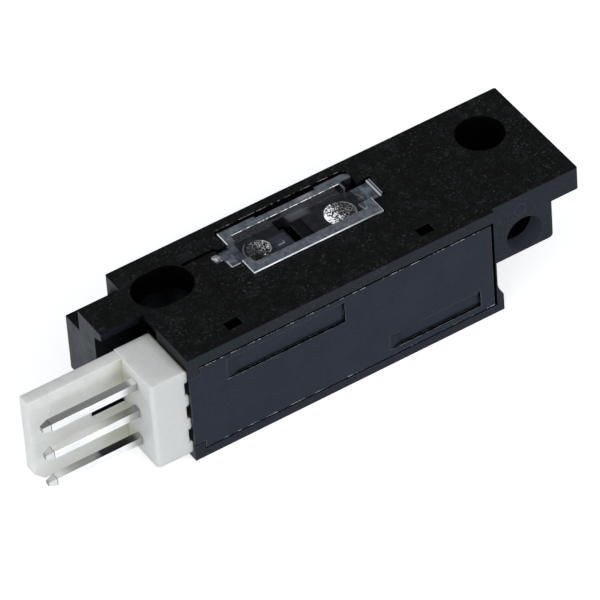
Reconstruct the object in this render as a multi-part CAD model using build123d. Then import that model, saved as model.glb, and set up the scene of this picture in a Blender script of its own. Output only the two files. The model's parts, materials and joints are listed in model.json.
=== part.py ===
from build123d import *
import os

# Reflective optical sensor. A black moulded housing looks upward through a clear window with two moulded
# lenses. A flush side cover closes it, a round hole and a slotted hole take its two screws, and a white
# three-pin plug header stands on its left end.
#
# X runs along the housing, Y from the cover side to the back, Z up to the optical face. Sizes are in
# millimetres. The model is built from the housing's lower left front corner, and every piece is moved
# together at the end, so that the origin is under the middle of the finished part.

# How far a cut runs past the surface that it opens, and a root into the solid that it grows from
overrun = 1.0
root_depth = 0.2

# Plug header and its pins, whose pitch is standard; their number sets the height of the whole part
pin_count = 3
pin_pitch = 2.5
pin_side = 0.64
pin_tip_side = 0.34
pin_taper = 0.95
pin_reach = 10.05
pin_tail = 3.2
pin_from_header_front = 2.1
pin_notch_gap = 0.06
header_end_margin = 1.2
header_front = 0.2
header_depth = 4.6
header_base = 2.8
header_edge_radius = 0.28
standoff_height = 0.26
standoff_width = 1.0
standoff_radius = 0.18
lock_wall_reach = 10.1
lock_wall_thickness = 0.9
lock_wall_top_step = 0.1
lock_wall_chamfer = 0.75
lock_slot_length = 2.6
lock_slot_height = 0.6

# Side cover, flush in the housing's side and a little taller than the header
cover_thickness = 1.0
cover_over_header = 0.025
cover_margin_bottom = 0.75
cover_margin_top = 1.0
cover_margin_right = 0.3
cover_gap = 0.06
cover_end_gap = 0.2
cover_edge_radius = 0.08
corner_land_length = 0.88
corner_land_height = 0.65
recess_depth = 0.3
recess_ramp = 1.2
name_recess_left = 2.85
name_recess_length = 9.4
name_recess_height = 1.75
name_recess_below_edge = 0.55
date_recess_right_margin = 1.1
date_recess_length = 7.45
date_recess_height = 1.3
date_recess_above_edge = 0.6

# Snap hooks of the cover, which show in two windows of the top face, and what else is on its back
hook_width = 1.0
hook_thickness = 0.5
hook_barb = 0.14
hook_lead_in = 0.1
hook_root = 1.1
hook_below_top = 0.3
hook_ledge = 0.5
hook_from_cover_end = 4.4
hook_window_gap = 0.06
hook_window_front = 0.1
tongue_length = 2.0
tongue_thickness = 0.4
tongue_height = 0.35
tongue_from_cover_end = 5.0
pin_rib_gap = 0.1
post_radius = 0.5
post_above_board_edge = 0.9
post_from_board_end = 1.0

# Screws: a slot at the left and a round hole in the flange, on one line
screw_radius = 1.6
screw_pitch = 25.4
slot_from_left = 2.5
slot_travel = 1.0
screw_line_from_back = 3.25
hole_chamfer = 0.15
slot_relief_before = 1.7
slot_relief_after = 2.9
slot_relief_width = 4.0
slot_relief_corner = 1.5

# Housing walls, and the end wall that flares out to a foot
side_wall = 1.1
back_wall = 1.0
edge_radius = 0.12
foot_flare = 0.45
foot_height = 1.4
foot_rise = 1.2

# Screw flange, with a nut slot under it between a front cheek, a rear cheek and a floor
body_end_before_screw = 3.6
flange_end_after_screw = 3.4
flange_thickness = 1.9
flange_setback = 0.33
cheek_drop = 5.1
cheek_end_before_flange_end = 2.2
front_cheek_thickness = 1.3
rear_cheek_thickness = 1.3
nut_slot_floor = 0.4
cheek_corner_radius = 0.3
cheek_hole_radius = 1.4
cheek_hole_above_edge = 1.55
cheek_hole_from_end = 2.3
ejector_mark_radius = 0.47
ejector_mark_depth = 0.05
ejector_mark_below_top = 1.25
ejector_mark_from_end = 2.5

# Guard arm behind the header
arm_length = 3.3
arm_behind_header = 0.7
arm_web_behind_header = 1.6
arm_back_inset = 0.1
arm_step_depth = 1.9
arm_step_drop = 1.8
arm_lip_thickness = 0.55
arm_lip_slope = 0.35
arm_foot = 2.6
arm_root = 0.5
latch_notch_depth = 0.9
latch_notch_width = 1.5
latch_notch_roof = 0.35

# Clear window, with one lens on its underside above each optical device
window_left = 8.1
window_front = 4.45
window_width = 4.8
window_back_margin = 1.05
window_thickness = 1.32
window_proud = 0.12
window_gap = 0.1
window_corner_radius = 0.5
window_floor_depth = 0.42
rim_front = 0.85
rim_left = 0.6
rim_right = 1.05
seat_width = 0.55
lens_pitch = 6.3
window_left_of_lenses = 1.88
window_right_of_lenses = 2.12
emitter_lens_radius = 0.9
receiver_lens_radius = 1.17
lens_rise = 0.45
tab_length = 0.85
right_tab_length = 1.0
tab_width = 1.9
tab_setback = 1.5
key_notch_length = 0.9
key_notch_width = 0.7
key_notch_from_back = 0.75
back_relief_depth = 0.2
back_relief_start = 2.9
back_relief_length = 4.8
gate_stub_length = 0.6
gate_stub_radius = 0.24
gate_stub_from_tab_edge = 0.5
seat_groove_width = 0.3
seat_groove_depth = 0.15
baffle_slot_from_left = 4.05
baffle_slot_length = 1.5
baffle_slot_width = 1.95
baffle_slot_from_rim = 0.25
baffle_slot_arm_left = 0.3
baffle_slot_arm_length = 0.98
baffle_slot_arm_from_rim = 0.12
floor_pad_from_left = 2.65
floor_pad_from_rim = 0.45
floor_pad_side = 1.25
floor_pad_height = 0.04
floor_mark_inset = 0.3
floor_mark_side = 0.5
grip_dent_from_right = 0.42
grip_dent_length = 1.35
grip_dent_width = 0.36
grip_dent_depth = 0.07
tab_lip_thickness = 0.26
tab_lip_height = 0.22

# Light shield, with one well for each optical device
shield_gap = 0.1
shield_side_inset = 0.3
shield_below_seat = 0.8
shield_roof = 0.5
shield_wall = 0.7
baffle_gap = 0.04
baffle_thickness = 0.76
aperture_radius = 1.25

# Optical devices: a clear package, its die and its leads
package_length = 2.9
package_width = 2.5
package_height = 2.6
package_key = 0.4
package_well_gap = 0.1
frame_pad_side = 1.3
frame_pad_thickness = 0.2
frame_pad_below_top = 0.45
short_lead_below_pad = 0.5
emitter_die_side = 0.36
receiver_die_side = 0.9
die_thickness = 0.15
emitter_leads = 2
receiver_leads = 3
lead_width = 0.4
lead_thickness = 0.25
lead_pitch = 1.0
lead_drop = 0.45
lead_tail = 0.5
lead_room = 0.6

# Circuit board and what is soldered to it
board_thickness = 0.8
board_edge_gap = 0.1
lead_hole_gap = 0.08
solder_cone_radius = 0.55
solder_cone_height = 0.35
solder_foot_length = 1.5
solder_foot_spread = 0.2
solder_foot_toe = 0.3
solder_foot_rise = 0.16
amplifier_length = 2.0
amplifier_width = 2.3
amplifier_thickness = 0.85
amplifier_chamfer = 0.15
amplifier_standoff = 0.08
amplifier_below_board_top = 1.65
amplifier_lead_count = 4
amplifier_lead_pitch = 0.5
amplifier_lead_width = 0.22
amplifier_lead_thickness = 0.13
amplifier_lead_reach = 0.4
amplifier_lead_root = 0.3
amplifier_lead_slope = 0.05
transistor_length = 1.6
transistor_width = 1.2
transistor_thickness = 0.8
transistor_chamfer = 0.12
small_part_length = 1.6
small_part_width = 0.8
resistor_thickness = 0.5
capacitor_thickness = 0.8
termination_length = 0.3
termination_step = 0.05
component_edge_margin = 0.4

# Places and sizes worked out from the ones above
header_height = (pin_count - 1) * pin_pitch + 2 * header_end_margin
header_back = header_front + header_depth
cover_height = header_height + 2 * cover_over_header
cover_bottom = cover_margin_bottom
cover_top = cover_bottom + cover_height
pin_middle = (cover_bottom + cover_top) / 2
pin_y = header_front + pin_from_header_front
pin_heights = [pin_middle + pin_pitch * ((pin_count - 1) / 2 - row) for row in range(pin_count)]

slot_x = slot_from_left
screw_hole_x = slot_x + screw_pitch
housing_length = screw_hole_x - body_end_before_screw
housing_depth = window_front + window_width + window_back_margin
housing_height = cover_top + cover_margin_top
screw_line = housing_depth - screw_line_from_back
cover_length = housing_length - cover_margin_right

left_end = -lock_wall_reach
right_end = screw_hole_x + flange_end_after_screw
origin_shift = Location((-(left_end + right_end) / 2, -housing_depth / 2, 0))

flange_bottom = housing_height - flange_thickness
cheek_bottom = housing_height - cheek_drop
cheek_end = right_end - cheek_end_before_flange_end
cheek_hole_x = cheek_end - cheek_hole_from_end
cheek_hole_z = cheek_bottom + cheek_hole_above_edge

window_top = housing_height + window_proud
window_seat = window_top - window_thickness
window_floor = window_top - window_floor_depth
window_right = window_left + window_left_of_lenses + lens_pitch + window_right_of_lenses
window_back = window_front + window_width
well_left = window_left + rim_left
well_right = window_right - rim_right
well_front = window_front + rim_front
well_back = window_back - rim_front
lens_y = (well_front + well_back) / 2
emitter_x = window_left + window_left_of_lenses
receiver_x = emitter_x + lens_pitch
tab_front = window_front + tab_setback
tab_back = tab_front + tab_width
key_notch_back = window_back - key_notch_from_back
key_notch_front = key_notch_back - key_notch_width
stub_left = window_left - tab_length - gate_stub_length
stub_back = tab_back - gate_stub_from_tab_edge
baffle_slot_left = window_left + baffle_slot_from_left
baffle_slot_right = baffle_slot_left + baffle_slot_length
baffle_slot_front = well_front + baffle_slot_from_rim
baffle_slot_back = baffle_slot_front + baffle_slot_width

board_front = pin_y + pin_side / 2
board_back = board_front + board_thickness
board_left = side_wall + board_edge_gap
board_right = housing_length - side_wall - board_edge_gap
chamber_margin = header_end_margin / 2
board_bottom = cover_bottom + chamber_margin + board_edge_gap
board_top = cover_top - chamber_margin - board_edge_gap

shield_top = window_seat - shield_below_seat
shield_left = window_left + shield_gap
shield_right = window_right - shield_gap
shield_front = window_front + shield_side_inset
shield_back = window_back - shield_side_inset
package_top = shield_top - shield_roof
package_bottom = package_top - package_height
lead_bend = package_bottom - lead_drop - lead_thickness
chamber_bottom = lead_bend - lead_room
chamber_left = slot_x + slot_relief_after + shield_roof
chamber_right = housing_length - side_wall
chamber_back = housing_depth - back_wall

hook_middles = (hook_from_cover_end, cover_length - hook_from_cover_end)
tongue_middles = (tongue_from_cover_end, cover_length - tongue_from_cover_end)
devices = (("emitter", emitter_x, emitter_leads), ("receiver", receiver_x, receiver_leads))


def block(x, y, z):
    """A box given by its low and high limit along each axis."""
    limits = (x, y, z)
    size = [high - low for low, high in limits]
    middle = [(high + low) / 2 for low, high in limits]
    return Pos(*middle) * Box(*size)


def around(middle, width):
    """The low and high limit of a width about its middle."""
    return (middle - width / 2, middle + width / 2)


def upright_cylinder(x, y, radius, z):
    return Pos(x, y, (z[0] + z[1]) / 2) * Cylinder(radius, z[1] - z[0])


def cylinder_along_y(x, z, radius, y):
    return Pos(x, (y[0] + y[1]) / 2, z) * Rot(90, 0, 0) * Cylinder(radius, y[1] - y[0])


def upright_slot(x, y, radius, travel, z):
    """An upright solid with round ends, as long as travel plus its diameter."""
    outline = SlotCenterToCenter(travel, 2 * radius)
    return extrude(Pos(x, y, z[0]) * outline, amount=z[1] - z[0])


def prism_along_x(start, length, *corners):
    """A prism that begins at start and runs along X, from the corners of its section in Y and Z."""
    section = make_face(Plane.YZ * Polyline(*corners, close=True))
    return Pos(start, 0, 0) * extrude(section, amount=length, dir=(1, 0, 0))


def lens_cap(radius, rise):
    """A dome on the XY plane, from its base radius and its rise."""
    ball_radius = (radius**2 + rise**2) / (2 * rise)
    ball = Pos(0, 0, rise - ball_radius) * Sphere(ball_radius)
    return ball & (Pos(0, 0, rise / 2) * Box(3 * radius, 3 * radius, rise))


def lead_places(x, lead_count):
    """Where the leads of an optical device stand along X."""
    return [x + lead_pitch * (index - (lead_count - 1) / 2) for index in range(lead_count)]


# Housing

def closed_body():
    """The closed body, with the flared foot at its right end and the hollow over the foot."""
    foot_end = housing_length + foot_flare
    hollow_bottom = foot_height + foot_rise
    around_left = Polyline(
        (housing_length, housing_height),
        (0, housing_height),
        (0, 0),
        (foot_end, 0),
        (foot_end, foot_height),
    )
    flare = Spline(
        (foot_end, foot_height),
        (housing_length, hollow_bottom),
        tangents=((-foot_flare, foot_rise), (0, foot_rise)),
    )
    upper = Line((housing_length, hollow_bottom), (housing_length, housing_height))
    outline = make_face(Plane.XZ * (around_left + flare + upper))
    body = extrude(outline, amount=housing_depth, dir=(0, 1, 0))
    return fillet(body.edges().filter_by(Axis.Z).group_by(Axis.Y)[-1], edge_radius)


def mounting_flange():
    """The screw flange, and the nut slot under it, which is open at its right end."""
    inside = housing_length - edge_radius
    plate = block((inside, right_end), (flange_setback, housing_depth), (flange_bottom, housing_height))
    plate = fillet(plate.edges().filter_by(Axis.Z).group_by(Axis.X)[-1], edge_radius)
    front_y = (flange_setback, flange_setback + front_cheek_thickness)
    front_cheek = block((inside, cheek_end), front_y, (cheek_bottom, flange_bottom))
    free_corner = front_cheek.edges().filter_by(Axis.Y).group_by(Axis.X)[-1].group_by(Axis.Z)[0]
    front_cheek = fillet(free_corner, cheek_corner_radius)
    front_cheek += block((inside, cheek_end), front_y, (flange_bottom - root_depth, housing_height - edge_radius))
    front_cheek -= cylinder_along_y(
        cheek_end - ejector_mark_from_end,
        housing_height - ejector_mark_below_top,
        ejector_mark_radius,
        (flange_setback - overrun, flange_setback + ejector_mark_depth),
    )
    rear_y = (housing_depth - rear_cheek_thickness, housing_depth)
    rear_cheek = block((inside, right_end - edge_radius), rear_y, (cheek_bottom, flange_bottom))
    floor_end = cheek_end - cheek_corner_radius
    floor = block((inside, floor_end), (front_y[1], rear_y[0]), (cheek_bottom, cheek_bottom + nut_slot_floor))
    return plate + front_cheek + rear_cheek + floor


def guard_arm():
    """The arm behind the header: a web with an overhanging lip in front and a step behind."""
    back = housing_depth - arm_back_inset
    step_front = housing_depth - arm_step_depth
    step_top = housing_height - arm_step_drop
    lip_front = header_back + arm_behind_header
    web_front = header_back + arm_web_behind_header
    lip_bottom = housing_height - arm_lip_thickness
    return prism_along_x(
        -arm_length,
        arm_length + arm_root,
        (lip_front, housing_height),
        (step_front, housing_height),
        (step_front, step_top),
        (back, step_top),
        (back, arm_foot),
        (web_front, arm_foot),
        (web_front, lip_bottom - arm_lip_slope),
        (lip_front, lip_bottom),
    )


def cover_seat():
    """The rebate that takes the side cover, without the two lands at its left corners."""
    bottom = cover_bottom - cover_gap
    top = cover_top + cover_gap
    seat = block((-overrun, cover_length + cover_end_gap), (-overrun, cover_thickness), (bottom, top))
    land_x = (-overrun, corner_land_length - cover_gap)
    land_y = (-overrun, cover_thickness)
    lower_land = block(land_x, land_y, (bottom, bottom + corner_land_height))
    upper_land = block(land_x, land_y, (top - corner_land_height, top))
    return seat - lower_land - upper_land


def board_chamber():
    low = board_bottom - board_edge_gap
    high = board_top + board_edge_gap
    return block((side_wall, housing_length - side_wall), (0, board_back), (low, high))


def optics_chamber():
    return block((chamber_left, chamber_right), (board_front, chamber_back), (chamber_bottom, shield_top))


def window_pocket():
    """The stepped pocket of the window: its outline, its tabs, its gate stub and the way down to the shield."""
    gap = window_gap
    above = window_top + overrun
    outline = block(
        (window_left - gap, window_right + gap),
        (window_front - gap, window_back + gap),
        (window_seat, above),
    )
    outline = fillet(outline.edges().filter_by(Axis.Z), edge_radius)
    tabs = block(
        (window_left - tab_length - gap, window_right + right_tab_length + gap),
        (tab_front - gap, tab_back + gap),
        (window_seat, above),
    )
    stub = block(
        (stub_left - gap, window_left),
        (stub_back - 2 * gate_stub_radius - gap, stub_back + gap),
        (window_floor - 2 * gate_stub_radius - gap, above),
    )
    passage = block(
        (window_left + seat_width, window_right - seat_width),
        (window_front + seat_width, window_back - seat_width),
        (shield_top - overrun, window_top),
    )
    return outline + tabs + stub + passage


def seat_groove():
    """A shallow groove in the top face, from near the slot to the window's left tab."""
    start = slot_x + slot_travel / 2 + screw_radius
    depth = (housing_height - seat_groove_depth, housing_height + overrun)
    return block((start, window_left - tab_length), (tab_back, tab_back + seat_groove_width), depth)


def hook_windows():
    """The two windows over the snap hooks, each with the ledge that its barb sits on."""
    openings = Part()
    front = cover_thickness - hook_window_front
    back = cover_thickness + hook_thickness + hook_window_gap
    above = housing_height + overrun
    for middle in hook_middles:
        across = around(middle, hook_width + 2 * hook_window_gap)
        openings += block(across, (front, back), (board_top - overrun, above))
        openings += block(across, (front, back + hook_barb), (housing_height - hook_ledge, above))
    return openings


def tongue_sockets():
    sockets = Part()
    front = cover_thickness - tongue_thickness - 2 * cover_gap
    low = cover_bottom - tongue_height - cover_gap
    for middle in tongue_middles:
        sockets += block(around(middle, tongue_length + 2 * cover_gap), (front, cover_thickness), (low, cover_bottom))
    return sockets


def pin_notches():
    """Notches in the left end wall, open to the cover side, that the header's pins lie in."""
    notches = Part()
    for height in pin_heights:
        notches += block(
            (-overrun, side_wall + root_depth),
            (0, board_front),
            around(height, pin_side + 2 * pin_notch_gap),
        )
    return notches


def screw_openings():
    """The round hole, the slot with the relief under it, and the hole in the front cheek."""
    through = (-overrun, housing_height + overrun)
    hole = upright_cylinder(screw_hole_x, screw_line, screw_radius, through)
    slot = upright_slot(slot_x, screw_line, screw_radius, slot_travel, through)
    relief = block(
        (slot_x - slot_relief_before, slot_x + slot_relief_after),
        around(screw_line, slot_relief_width),
        (-overrun, flange_bottom),
    )
    relief = fillet(relief.edges().filter_by(Axis.Z), slot_relief_corner)
    cheek_back = flange_setback + front_cheek_thickness
    cheek_hole = cylinder_along_y(cheek_hole_x, cheek_hole_z, cheek_hole_radius, (-overrun, cheek_back))
    return hole + slot + relief + cheek_hole


def broken_mouths():
    """Cones that break the upper edges of the round hole and the slot."""
    rim = screw_radius + hole_chamfer
    low = housing_height - hole_chamfer
    hole_mouth = Pos(screw_hole_x, screw_line, low + hole_chamfer / 2) * Cone(screw_radius, rim, hole_chamfer)
    slot_low = Pos(slot_x, screw_line, low) * SlotCenterToCenter(slot_travel, 2 * screw_radius)
    slot_high = Pos(slot_x, screw_line, housing_height) * SlotCenterToCenter(slot_travel, 2 * rim)
    return hole_mouth + loft([slot_low, slot_high])


def latch_notch():
    """The notch in the left end face beside the arm, for the plug's latch."""
    front = header_back - lock_wall_thickness
    return block(
        (-overrun, latch_notch_depth),
        (front, front + latch_notch_width),
        (cover_bottom, housing_height - latch_notch_roof),
    )


def make_housing():
    housing = closed_body() + mounting_flange() + guard_arm()
    housing -= cover_seat()
    housing -= board_chamber()
    housing -= optics_chamber()
    housing -= window_pocket()
    housing -= seat_groove()
    housing -= hook_windows()
    housing -= tongue_sockets()
    housing -= pin_notches()
    housing -= screw_openings()
    housing -= broken_mouths()
    housing -= latch_notch()
    return housing


# Side cover

def bare_recess(left, length, z):
    """A shallow recess in the cover's front, whose floor ramps up to the surface at its left end."""
    corners = [
        (left, 0),
        (left + recess_ramp, recess_depth),
        (left + length, recess_depth),
        (left + length, 0),
    ]
    floor_plan = make_face(Polyline(*corners, close=True))
    return Pos(0, 0, z[0]) * extrude(floor_plan, amount=z[1] - z[0], dir=(0, 0, 1))


def snap_hook(middle):
    """One hook: an upright leg inside the cover, with a barb that looks to the back."""
    front = cover_thickness - root_depth
    back = cover_thickness + hook_thickness
    top = housing_height - hook_below_top
    ledge = housing_height - hook_ledge
    root = cover_top - hook_root
    return prism_along_x(
        middle - hook_width / 2,
        hook_width,
        (front, root),
        (front, cover_top),
        (cover_thickness, cover_top),
        (cover_thickness, top),
        (back - hook_lead_in, top),
        (back + hook_barb, ledge + hook_lead_in),
        (back + hook_barb, ledge),
        (back, ledge),
        (back, root),
    )


def make_side_cover():
    cover = block((0, cover_length), (0, cover_thickness), (cover_bottom, cover_top))
    cover = fillet(cover.edges().filter_by(Axis.X).group_by(Axis.Y)[0], cover_edge_radius)
    corner_x = (-overrun, corner_land_length)
    corner_y = (-overrun, cover_thickness + overrun)
    cover -= block(corner_x, corner_y, (cover_bottom - overrun, cover_bottom + corner_land_height))
    cover -= block(corner_x, corner_y, (cover_top - corner_land_height, cover_top + overrun))
    name_top = cover_top - name_recess_below_edge
    cover -= bare_recess(name_recess_left, name_recess_length, (name_top - name_recess_height, name_top))
    date_left = cover_length - date_recess_right_margin - date_recess_length
    date_bottom = cover_bottom + date_recess_above_edge
    cover -= bare_recess(date_left, date_recess_length, (date_bottom, date_bottom + date_recess_height))
    root = cover_thickness - root_depth
    for middle in hook_middles:
        cover += snap_hook(middle)
    for middle in tongue_middles:
        back = cover_thickness - cover_gap
        tongue_z = (cover_bottom - tongue_height, cover_bottom + root_depth)
        cover += block(around(middle, tongue_length), (back - tongue_thickness, back), tongue_z)
    for height in pin_heights:
        rib_x = (pin_rib_gap, side_wall - pin_rib_gap)
        cover += block(rib_x, (root, pin_y - pin_side / 2), around(height, pin_side))
    for x in (board_left + pin_tail + 3 * post_from_board_end, board_right - post_from_board_end):
        cover += cylinder_along_y(x, board_bottom + post_above_board_edge, post_radius, (root, board_front))
    return cover


# Clear window

def window_rim():
    """The raised rim round the window's floor, open at the two tabs and cut back behind its middle."""
    rim = block((window_left, window_right), (window_front, window_back), (window_seat, window_top))
    back_corners = rim.edges().filter_by(Axis.Z).group_by(Axis.Y)[-1]
    rim = fillet(back_corners.group_by(Axis.X)[-1], window_corner_radius)
    above = (window_floor, window_top + overrun)
    rim -= block((well_left, well_right), (well_front, well_back), above)
    rim -= block((window_left - overrun, well_left), (tab_front, tab_back), above)
    rim -= block((well_right, window_right + overrun), (tab_front, key_notch_front), above)
    relief_left = window_left + back_relief_start
    relief_x = (relief_left, relief_left + back_relief_length)
    return rim - block(relief_x, (window_back - back_relief_depth, window_back + overrun), above)


def window_tabs():
    """The two tabs at floor level, the right one with a low lip at its end, and the cut gate on the left one."""
    tab_z = (window_seat, window_floor)
    tab_end = window_right + right_tab_length
    right_y = (tab_front, key_notch_front)
    tabs = block((window_left - tab_length, window_left + root_depth), (tab_front, tab_back), tab_z)
    tabs += block((window_right - root_depth, tab_end), right_y, tab_z)
    tabs += block((tab_end - tab_lip_thickness, tab_end), right_y, (window_seat, window_floor + tab_lip_height))
    stub_length = gate_stub_length + root_depth
    stub = Rot(0, 90, 0) * Cylinder(gate_stub_radius, stub_length)
    tabs += Pos(stub_left + stub_length / 2, stub_back - gate_stub_radius, window_floor - gate_stub_radius) * stub
    return tabs


def floor_pad():
    """The low square pad between the emitter's lens and the baffle, with a smaller one on it."""
    left = window_left + floor_pad_from_left
    front = well_front + floor_pad_from_rim
    low = window_floor - root_depth
    pad_top = window_floor + floor_pad_height
    pad = block((left, left + floor_pad_side), (front, front + floor_pad_side), (low, pad_top))
    mark_x = (left + floor_mark_inset, left + floor_mark_inset + floor_mark_side)
    mark_y = (front + floor_mark_inset, front + floor_mark_inset + floor_mark_side)
    return pad + block(mark_x, mark_y, (low, pad_top + floor_pad_height))


def grip_dent():
    """The shallow dent between two arcs, in the floor beside the right tab."""
    x = window_right - grip_dent_from_right
    low = (x, tab_front)
    high = (x, tab_front + grip_dent_length)
    middle_y = tab_front + grip_dent_length / 2
    right_arc = ThreePointArc(low, (x + grip_dent_width / 2, middle_y), high)
    left_arc = ThreePointArc(high, (x - grip_dent_width / 2, middle_y), low)
    outline = make_face(right_arc + left_arc)
    return Pos(0, 0, window_floor - grip_dent_depth) * extrude(outline, amount=overrun, dir=(0, 0, 1))


def make_window():
    window = window_rim() + window_tabs() + floor_pad()
    everywhere = (window_seat - overrun, window_top + overrun)
    window -= block(
        (window_right - key_notch_length, window_right + overrun),
        (key_notch_front, key_notch_back),
        everywhere,
    )
    window -= block((baffle_slot_left, baffle_slot_right), (baffle_slot_front, baffle_slot_back), everywhere)
    arm_left = baffle_slot_left - baffle_slot_arm_left
    arm_y = (baffle_slot_back - root_depth, well_back - baffle_slot_arm_from_rim)
    window -= block((arm_left, arm_left + baffle_slot_arm_length), arm_y, everywhere)
    window -= grip_dent()
    for x, radius in ((emitter_x, emitter_lens_radius), (receiver_x, receiver_lens_radius)):
        window += Pos(x, lens_y, window_seat) * Rot(180, 0, 0) * lens_cap(radius, lens_rise)
    return window


# Light shield

def make_light_shield():
    shield = block((shield_left, shield_right), (shield_front, shield_back), (chamber_bottom, shield_top))
    for name, x, lead_count in devices:
        shield -= block(
            around(x, package_length + 2 * package_well_gap),
            around(lens_y, package_width + 2 * package_well_gap),
            (0, package_top),
        )
        shield -= upright_cylinder(x, lens_y, aperture_radius, (package_top - root_depth, shield_top + overrun))
    shield -= block(
        (shield_left + shield_wall, shield_right - shield_wall),
        (0, lens_y),
        (chamber_bottom - overrun, package_bottom),
    )
    baffle_right = baffle_slot_right - baffle_gap
    shield += block(
        (baffle_right - baffle_thickness, baffle_right),
        (baffle_slot_front + baffle_gap, baffle_slot_back - baffle_gap),
        (shield_top - root_depth, window_floor - baffle_gap),
    )
    return shield


# Optical devices

def bent_lead(x, top):
    """A flat lead: down from inside the package, then forward through the board."""
    back = lens_y + lead_thickness / 2
    upright = block(around(x, lead_width), around(lens_y, lead_thickness), (lead_bend, top))
    tail_y = (board_front - lead_tail, back)
    return upright + block(around(x, lead_width), tail_y, (lead_bend, lead_bend + lead_thickness))


def make_optical_device(name, x, lead_count, die_side):
    """The package, the die and the leads of one device, one of whose leads carries the die's pad."""
    pieces = {}
    pad_top = package_top - frame_pad_below_top
    pad_bottom = pad_top - frame_pad_thickness
    places = lead_places(x, lead_count)
    pad_index = (lead_count - 1) // 2
    for index, place in enumerate(places):
        lead = bent_lead(place, pad_bottom - short_lead_below_pad)
        if index == pad_index:
            pad_x = (x - frame_pad_side / 2, x + frame_pad_side / 2)
            lead = bent_lead(place, pad_top) + block(pad_x, around(lens_y, frame_pad_side), (pad_bottom, pad_top))
        pieces[f"{name}_lead_{index + 1}"] = lead
    die = block(around(x, die_side), around(lens_y, die_side), (pad_top, pad_top + die_thickness))
    package = block(around(x, package_length), around(lens_y, package_width), (package_bottom, package_top))
    key_edge = package.edges().filter_by(Axis.Z).group_by(Axis.Y)[-1].group_by(Axis.X)[0]
    package = chamfer(key_edge, package_key)
    for lead in pieces.values():
        package -= lead
    pieces[f"{name}_die"] = die
    pieces[f"{name}_package"] = package - die
    return pieces


def solder_cone(x):
    """The solder round one device lead's end, on the front of the board."""
    z = lead_bend + lead_thickness / 2
    cone = Cone(solder_cone_radius, lead_width / 2 + termination_step, solder_cone_height)
    placed = Pos(x, board_front - solder_cone_height / 2, z) * Rot(90, 0, 0) * cone
    return placed - block(around(x, lead_width), (0, board_back), around(z, lead_thickness))


# Circuit board and its components

def make_board():
    board = block((board_left, board_right), (board_front, board_back), (board_bottom, board_top))
    hole_z = around(lead_bend + lead_thickness / 2, lead_thickness + 2 * lead_hole_gap)
    for name, x, lead_count in devices:
        for place in lead_places(x, lead_count):
            board -= block(around(place, lead_width + 2 * lead_hole_gap), (0, housing_depth), hole_z)
    return board


def gull_wing_lead(x, side, middle_z):
    """One lead of the amplifier: out of its side, down, and flat on the board."""
    edge = middle_z + side * amplifier_width / 2
    root = edge - side * amplifier_lead_root
    shoulder = edge + side * amplifier_lead_thickness
    toe = edge + side * amplifier_lead_reach
    middle = board_front - amplifier_standoff - amplifier_thickness / 2
    front = middle - amplifier_lead_thickness
    foot_front = board_front - amplifier_lead_thickness
    return prism_along_x(
        x - amplifier_lead_width / 2,
        amplifier_lead_width,
        (middle, root),
        (middle, shoulder - side * amplifier_lead_slope),
        (board_front, shoulder),
        (board_front, toe),
        (foot_front, toe),
        (foot_front, shoulder + side * amplifier_lead_thickness),
        (front, shoulder + side * amplifier_lead_slope),
        (front, root),
    )


def make_amplifier():
    """The amplifier chip and its leads, above the solder of the optical devices."""
    pieces = {}
    middle_x = (emitter_x + receiver_x) / 2
    middle_z = board_top - amplifier_below_board_top
    back = board_front - amplifier_standoff
    chip = block(
        around(middle_x, amplifier_length),
        (back - amplifier_thickness, back),
        around(middle_z, amplifier_width),
    )
    chip = chamfer(chip.edges().filter_by(Axis.X).group_by(Axis.Y)[0], amplifier_chamfer)
    number = 0
    for side in (-1, 1):
        for index in range(amplifier_lead_count):
            number += 1
            x = middle_x + amplifier_lead_pitch * (index - (amplifier_lead_count - 1) / 2)
            lead = gull_wing_lead(x, side, middle_z)
            chip -= lead
            pieces[f"amplifier_lead_{number}"] = lead
    pieces["amplifier_chip"] = chip
    return pieces


def small_part(x, z, thickness):
    """A chip resistor or capacitor, with the caps at its two ends a little thicker than its middle."""
    front = board_front - thickness
    whole = block(around(x, small_part_length), (front, board_front), around(z, small_part_width))
    waist_x = around(x, small_part_length - 2 * termination_length)
    waist_z = around(z, small_part_width + overrun)
    return whole - block(waist_x, (front - overrun, front + termination_step), waist_z)


def make_small_parts():
    """Resistors and capacitors in two columns beside the pins, two resistors below the devices, and the transistor."""
    pieces = {}
    high = board_top - component_edge_margin - small_part_width / 2
    low = board_bottom + component_edge_margin + small_part_width / 2
    first_column = board_left + pin_tail + component_edge_margin + small_part_length / 2
    second_column = first_column + small_part_length + component_edge_margin
    resistors = (
        (first_column, high),
        (first_column, (high + low) / 2),
        (first_column, low),
        (emitter_x, low),
        (receiver_x, low),
    )
    capacitors = ((second_column, high), (second_column, (high + low) / 2))
    for number, (x, z) in enumerate(resistors, start=1):
        pieces[f"chip_resistor_{number}"] = small_part(x, z, resistor_thickness)
    for number, (x, z) in enumerate(capacitors, start=1):
        pieces[f"chip_capacitor_{number}"] = small_part(x, z, capacitor_thickness)
    transistor = block(
        around(receiver_x, transistor_length),
        (board_front - transistor_thickness, board_front),
        around(high - transistor_width / 2, transistor_width),
    )
    pieces["output_transistor"] = chamfer(transistor.edges().group_by(Axis.Y)[0], transistor_chamfer)
    return pieces


# Header and pins

def make_pin(height):
    """A square pin with a tapered tip, whose tail lies flat on the board."""
    shank_start = -(pin_reach - pin_taper)
    shank = block((shank_start, pin_tail), around(pin_y, pin_side), around(height, pin_side))
    root = Plane(origin=(shank_start, pin_y, height), x_dir=(0, 1, 0), z_dir=(-1, 0, 0))
    end = root.offset(pin_taper)
    return shank + loft([root * Rectangle(pin_side, pin_side), end * Rectangle(pin_tip_side, pin_tip_side)])


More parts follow.
